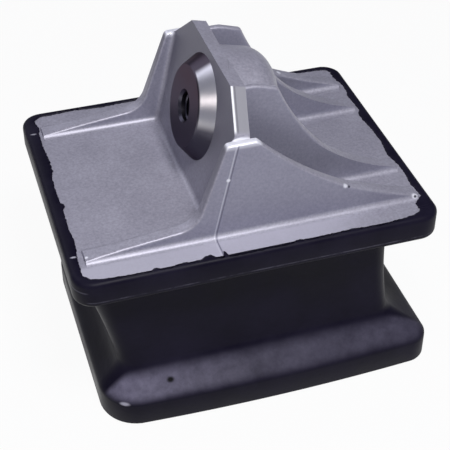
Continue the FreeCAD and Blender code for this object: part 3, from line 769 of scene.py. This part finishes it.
def build_block(settings):
    """Rings from the flash's inner edge, over the rim, down the neck and flange, to the recess."""
    lip = settings.lip
    top = PLATE_TOP + lip
    rim = dict(length=207 * MM, width=166.5 * MM, corner=12 * MM, middle=SADDLE_X - 1 * MM)
    plate = dict(length=2 * PLATE_HALF_LENGTH, width=2 * PLATE_HALF_WIDTH, corner=9 * MM,
                 middle=SADDLE_X)
    neck_top = dict(length=178 * MM, width=130 * MM, corner=10 * MM, middle=SADDLE_X - 8 * MM)
    neck_foot = dict(length=167 * MM, width=126 * MM, corner=10 * MM, middle=SADDLE_X + 3.5 * MM)
    flange = dict(length=202 * MM, width=161.5 * MM, corner=(23 * MM, 13 * MM),
                  middle=SADDLE_X + 8.2 * MM, bow=2.5 * MM)
    recess = dict(length=180 * MM, width=136 * MM, corner=8 * MM, middle=SADDLE_X + 8.2 * MM)
    under_rim = PLATE_TOP - 15 * MM                  # height of the rim's underside
    foot = 32 * MM                                   # height of the neck's foot
    edge = 17 * MM                                   # height of the flange's upright edge
    fillet = 4 * MM                                  # under the rim
    waist = 1.3 * MM                                 # how far the neck draws in
    r = settings.rounding

    def between(a, b, share):
        """Outline part of the way from one ring to another."""
        mixed = {}
        for key in ("length", "width", "corner", "middle", "bow"):
            first, second = a.get(key, 0.0), b.get(key, 0.0)
            if isinstance(first, tuple) or isinstance(second, tuple):
                first = first if isinstance(first, tuple) else (first, first)
                second = second if isinstance(second, tuple) else (second, second)
                mixed[key] = tuple(p + (q - p) * share for p, q in zip(first, second))
            else:
                mixed[key] = first + (second - first) * share
        return mixed

    def shrunk(a, inset):
        """Outline moved inward by inset."""
        out = dict(a)
        out["length"] = a["length"] - 2 * inset
        out["width"] = a["width"] - 2 * inset
        corner = a["corner"]
        out["corner"] = tuple(max(c - inset, MM) for c in corner) if isinstance(corner, tuple) \
            else max(corner - inset, MM)
        return out

    rings = [(kind, plate, PLATE_TOP + level * MM)
             for kind, level in zip(("flash", "flash", "flash_back"), FLASH_LEVELS)]
    rings.append(("plain", shrunk(rim, r), top))
    for step in range(1, ROUND_STEPS + 1):
        turn = math.radians(90) * step / ROUND_STEPS
        rings.append(("plain", shrunk(rim, r * (1 - math.sin(turn))), top - r * (1 - math.cos(turn))))
    for step in range(0, ROUND_STEPS + 1):
        turn = math.radians(90) * step / ROUND_STEPS
        rings.append(("plain", shrunk(rim, r * RIM_LOWER * (1 - math.cos(turn))),
                      under_rim + r * RIM_LOWER * (1 - math.sin(turn))))
    # fillet from the rim's underside into the neck
    rings.append(("plain", shrunk(neck_top, -fillet), under_rim))
    for step in range(1, ROUND_STEPS + 1):
        turn = math.radians(90) * step / ROUND_STEPS
        rings.append(("plain", shrunk(neck_top, -fillet * (1 - math.sin(turn))),
                      under_rim - fillet * (1 - math.cos(turn))))
    height = under_rim - fillet
    for step in range(1, NECK_STEPS):
        share = step / NECK_STEPS
        level = height + (foot + 3 * MM - height) * share
        outline = shrunk(between(neck_top, neck_foot, share), waist * math.sin(math.pi * share))
        rings.append(("plain", outline, level))
    # neck into the slope, and the slope into the upright edge
    rings.append(("plain", shrunk(between(neck_top, neck_foot, 1.0), -0.2 * MM), foot + 3 * MM))
    rings.append(("plain", shrunk(neck_foot, -0.8 * MM), foot + 0.8 * MM))
    rings.append(("plain", between(neck_foot, flange, 0.15), foot - 1.7 * MM))
    for share in (0.35, 0.6, 0.8, 0.9):
        rings.append(("plain", between(neck_foot, flange, share), foot + (edge - foot) * share))
    rings.append(("plain", between(neck_foot, flange, 0.965), edge + 0.25 * MM))
    rings.append(("plain", between(neck_foot, flange, 0.992), edge - 0.6 * MM))
    rings.append(("plain", flange, edge - 2.2 * MM))
    rings.append(("plain", flange, 1.5 * MM))
    rings.append(("plain", shrunk(flange, 0.5 * MM), 0.4 * MM))
    rings.append(("plain", shrunk(flange, 1.6 * MM), 0.0))
    rings.append(("plain", recess, 0.0))
    rings.append(("plain", recess, 5 * MM))

    bm = bmesh.new()
    order = bm.verts.layers.int.new("order")
    made = bmesh.ops.create_circle(bm, segments=RING, radius=1.0, cap_ends=False)
    for index, vert in enumerate(made["verts"]):
        vert[order] = index
    edges = list(bm.edges)

    def settle(verts, kind, outline, level):
        for vert in verts:
            point, outward = ring_point(vert[order], **outline)
            if kind != "plain":
                inward = flash_width(point, outward)
                if kind == "flash_back":
                    inward = max(inward - FLASH_ROUND, -FLASH_OVERHANG)
                point = point - outward * inward
            vert.co = (point.x, point.y, level)

    settle(made["verts"], *rings[0])
    for kind, outline, level in rings[1:]:
        grown = bmesh.ops.extrude_edge_only(bm, edges=edges)["geom"]
        verts = [item for item in grown if isinstance(item, bmesh.types.BMVert)]
        edges = [item for item in grown if isinstance(item, bmesh.types.BMEdge)
                 and all(v in set(verts) for v in item.verts)]
        settle(verts, kind, outline, level)
    bmesh.ops.contextual_create(bm, geom=edges)
    return bm


# ---------------------------------------------------------------- operators

class MOUNT_OT_finish_casting(bpy.types.Operator):
    """Give the saddle casting its blasted aluminium skin and its mould seams"""
    bl_idname = "engine_mount.finish_casting"
    bl_label = "Finish the Casting"

    def execute(self, context):
        settings = context.scene.mount_casting
        skin = link_piece(context, "saddle_skin", build_casting_skin(),
                          smooth=None)
        dress(skin, cast_aluminium(settings))
        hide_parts("saddle_casting")
        return {"FINISHED"}


THREAD_STEPS = 40                                    # to a turn
THREAD_SHORTER = 2 * MM                              # than the bore
THREAD_START = 0.6 * MM                              # from the bore's blind end
THREAD_BITE = 0.02 * MM                              # into the bore's wall
RIDGE_HALF = 0.46                                    # of the pitch, so ridges almost touch
CREST_WIDTH = 0.15                                   # of the ridge's width


class MOUNT_OT_finish_bush(bpy.types.Operator):
    """Give the bush its turned steel and cut its thread"""
    bl_idname = "engine_mount.finish_bush"
    bl_label = "Finish the Bush"

    def execute(self, context):
        settings = context.scene.mount_bush
        steel = turned_steel(settings)
        dress(frame["nodes"]["threaded_bush"], steel)

        # one ridge of the thread, spun into a helix round the bore's axis
        turns = int((BORE_LENGTH - THREAD_SHORTER) / settings.pitch)
        half = settings.pitch * RIDGE_HALF
        bm = bmesh.new()
        wall = BORE_RADIUS + THREAD_BITE
        crest = BORE_RADIUS - settings.depth
        ridge = [bm.verts.new((wall, 0, -half)), bm.verts.new((crest, 0, -half * CREST_WIDTH)),
                 bm.verts.new((crest, 0, half * CREST_WIDTH)), bm.verts.new((wall, 0, half))]
        profile = [bm.edges.new(pair) for pair in zip(ridge, ridge[1:] + ridge[:1])]
        bmesh.ops.spin(
            bm, geom=ridge + profile, cent=(0, 0, 0), axis=(0, 0, 1),
            angle=math.radians(360) * turns, steps=THREAD_STEPS * turns,
            dvec=(0, 0, settings.pitch / THREAD_STEPS), use_merge=False)
        bmesh.ops.contextual_create(bm, geom=bm.verts[:4])
        ends = [edge for edge in bm.edges if edge.is_boundary]
        bmesh.ops.holes_fill(bm, edges=ends)
        start = BORE_MIDDLE - BORE_AXIS * (BORE_LENGTH / 2 - THREAD_START)
        turn = BORE_AXIS.to_track_quat("Z", "Y").to_matrix().to_4x4()
        bmesh.ops.transform(bm, matrix=Matrix.Translation(start) @ turn, verts=bm.verts)
        thread = link_piece(context, "bush_thread", bm, smooth=False)
        dress(thread, steel)
        return {"FINISHED"}


class MOUNT_OT_mould_rubber(bpy.types.Operator):
    """Mould the rubber block with its ragged flash over the plate"""
    bl_idname = "engine_mount.mould_rubber"
    bl_label = "Mould the Rubber"

    def execute(self, context):
        settings = context.scene.mount_rubber
        bm = build_block(settings)
        block = link_piece(context, "rubber_moulding", bm)
        dress(block, moulded_rubber(settings))
        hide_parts("rubber_body")
        return {"FINISHED"}


class MOUNT_OT_finish_base(bpy.types.Operator):
    """Prime the base plate"""
    bl_idname = "engine_mount.finish_base"
    bl_label = "Finish the Base Plate"

    def execute(self, context):
        dress(frame["nodes"]["base_plate"], primed_steel())
        return {"FINISHED"}


FLOOR_SIZE = 4
FLOOR_GLOW = 0.95      # the rest of the floor's light is the lamps', and keeps the shadow
FLOOR_SHADE = "#D2D2D8"
WORLD_COLOUR = "#8E92A6"
WORLD_STRENGTH = 0.38
LAMP_TARGET = (0, 0, 0.12)
# Name, place, size, power in watts and colour.
SOFT_LAMPS = (
    ("left_fill", (-0.62, -0.36, 0.72), 0.2, 0.4, "#FFF6F0"),
    ("back_sheet", (-0.45, 0.90, 0.85), 0.9, 2.6, "#F2F3FF"),
)
CAMERA_PLACE = (-0.16585, -0.5308, 0.5243)
CAMERA_TILT = 50.8                                   # degrees up from straight down
CAMERA_TURN = -17.3                                  # degrees round Z
SENSOR_WIDTH = 36                                    # mm


class MOUNT_OT_set_stage(bpy.types.Operator):
    """Set the floor, the lights, the world and the camera"""
    bl_idname = "engine_mount.set_stage"
    bl_label = "Set the Stage"

    def execute(self, context):
        settings = context.scene.mount_stage
        scene = context.scene
        scene.view_settings.view_transform = "Standard"

        bm = bmesh.new()
        bmesh.ops.create_grid(bm, x_segments=1, y_segments=1, size=FLOOR_SIZE)
        mesh = bpy.data.meshes.new("stage_floor")
        bm.to_mesh(mesh)
        bm.free()
        floor = bpy.data.objects.new("stage_floor", mesh)
        scene.collection.objects.link(floor)
        material = new_material("pale_floor")
        rays = add_node(material, "ShaderNodeLightPath")
        seen = add_node(material, "ShaderNodeMath", {
            0: rays.outputs["Is Camera Ray"], 1: rays.outputs["Is Glossy Ray"]},
            operation="MAXIMUM")
        seen = add_node(material, "ShaderNodeMath", {
            0: seen.outputs["Value"], 1: rays.outputs["Is Transmission Ray"]},
            operation="MAXIMUM")
        share = add_node(material, "ShaderNodeMath", {0: seen.outputs["Value"], 1: FLOOR_GLOW},
                         operation="MULTIPLY")
        matt = add_node(material, "ShaderNodeBsdfDiffuse", {"Color": linear(FLOOR_SHADE)})
        glow = add_node(material, "ShaderNodeEmission", {
            "Color": linear(settings.floor), "Strength": 1.0})
        mix = add_node(material, "ShaderNodeMixShader", {
            0: share.outputs["Value"], 1: matt.outputs["BSDF"], 2: glow.outputs["Emission"]})
        add_node(material, "ShaderNodeOutputMaterial", {"Surface": mix.outputs["Shader"]})
        dress(floor, material)

        world = bpy.data.worlds.new("studio")
        world.use_nodes = True
        sky = world.node_tree.nodes["Background"].inputs
        sky["Color"].default_value = linear(WORLD_COLOUR)
        sky["Strength"].default_value = WORLD_STRENGTH
        scene.world = world

        target = Vector(LAMP_TARGET)
        for name, place, size, power, colour in (
                ("key", (0.0, -0.42, 0.80), 0.22, settings.key, "#FFFFFF"),
                *SOFT_LAMPS):
            data = bpy.data.lights.new(name, "AREA")
            data.energy = power
            data.size = size
            data.color = linear(colour)[:3]
            lamp = bpy.data.objects.new(name, data)
            lamp.location = place
            lamp.rotation_euler = (Vector(place) - target).to_track_quat("Z", "Y").to_euler()
            scene.collection.objects.link(lamp)

        data = bpy.data.cameras.new("camera")
        data.lens = settings.lens
        data.sensor_width = SENSOR_WIDTH
        camera = bpy.data.objects.new("camera", data)
        camera.location = CAMERA_PLACE
        camera.rotation_euler = (math.radians(CAMERA_TILT), 0, math.radians(CAMERA_TURN))
        scene.collection.objects.link(camera)
        scene.camera = camera
        return {"FINISHED"}


class MOUNT_PT_panel(bpy.types.Panel):
    """The mount's settings and operators"""
    bl_idname = "MOUNT_PT_panel"
    bl_label = "Engine Mount"
    bl_space_type = "VIEW_3D"
    bl_region_type = "UI"
    bl_category = "Engine Mount"

    def draw(self, context):
        layout = self.layout
        for group, operators in SECTIONS:
            settings = getattr(context.scene, group)
            for name in settings.bl_rna.properties.keys():
                if name not in ("rna_type", "name"):
                    layout.prop(settings, name)
            for operator in operators:
                layout.operator(operator.bl_idname)


GROUPS = {
    "mount_casting": MountCastingSettings,
    "mount_bush": MountBushSettings,
    "mount_rubber": MountRubberSettings,
    "mount_stage": MountStageSettings,
}
SECTIONS = (
    ("mount_casting", (MOUNT_OT_finish_casting,)),
    ("mount_bush", (MOUNT_OT_finish_bush,)),
    ("mount_rubber", (MOUNT_OT_mould_rubber, MOUNT_OT_finish_base)),
    ("mount_stage", (MOUNT_OT_set_stage,)),
)
OPERATORS = [operator for _, operators in SECTIONS for operator in operators]
CLASSES = [*GROUPS.values(), *OPERATORS, MOUNT_PT_panel]


def register():
    for cls in CLASSES:
        bpy.utils.register_class(cls)
    for name, cls in GROUPS.items():
        setattr(bpy.types.Scene, name, PointerProperty(type=cls))


def unregister():
    for name in GROUPS:
        delattr(bpy.types.Scene, name)
    for cls in reversed(CLASSES):
        bpy.utils.unregister_class(cls)


def main():
    register()
    bpy.ops.engine_mount.finish_casting()
    bpy.ops.engine_mount.finish_bush()
    bpy.ops.engine_mount.mould_rubber()
    bpy.ops.engine_mount.finish_base()
    bpy.ops.engine_mount.set_stage()


if __name__ == "__main__":
    main()
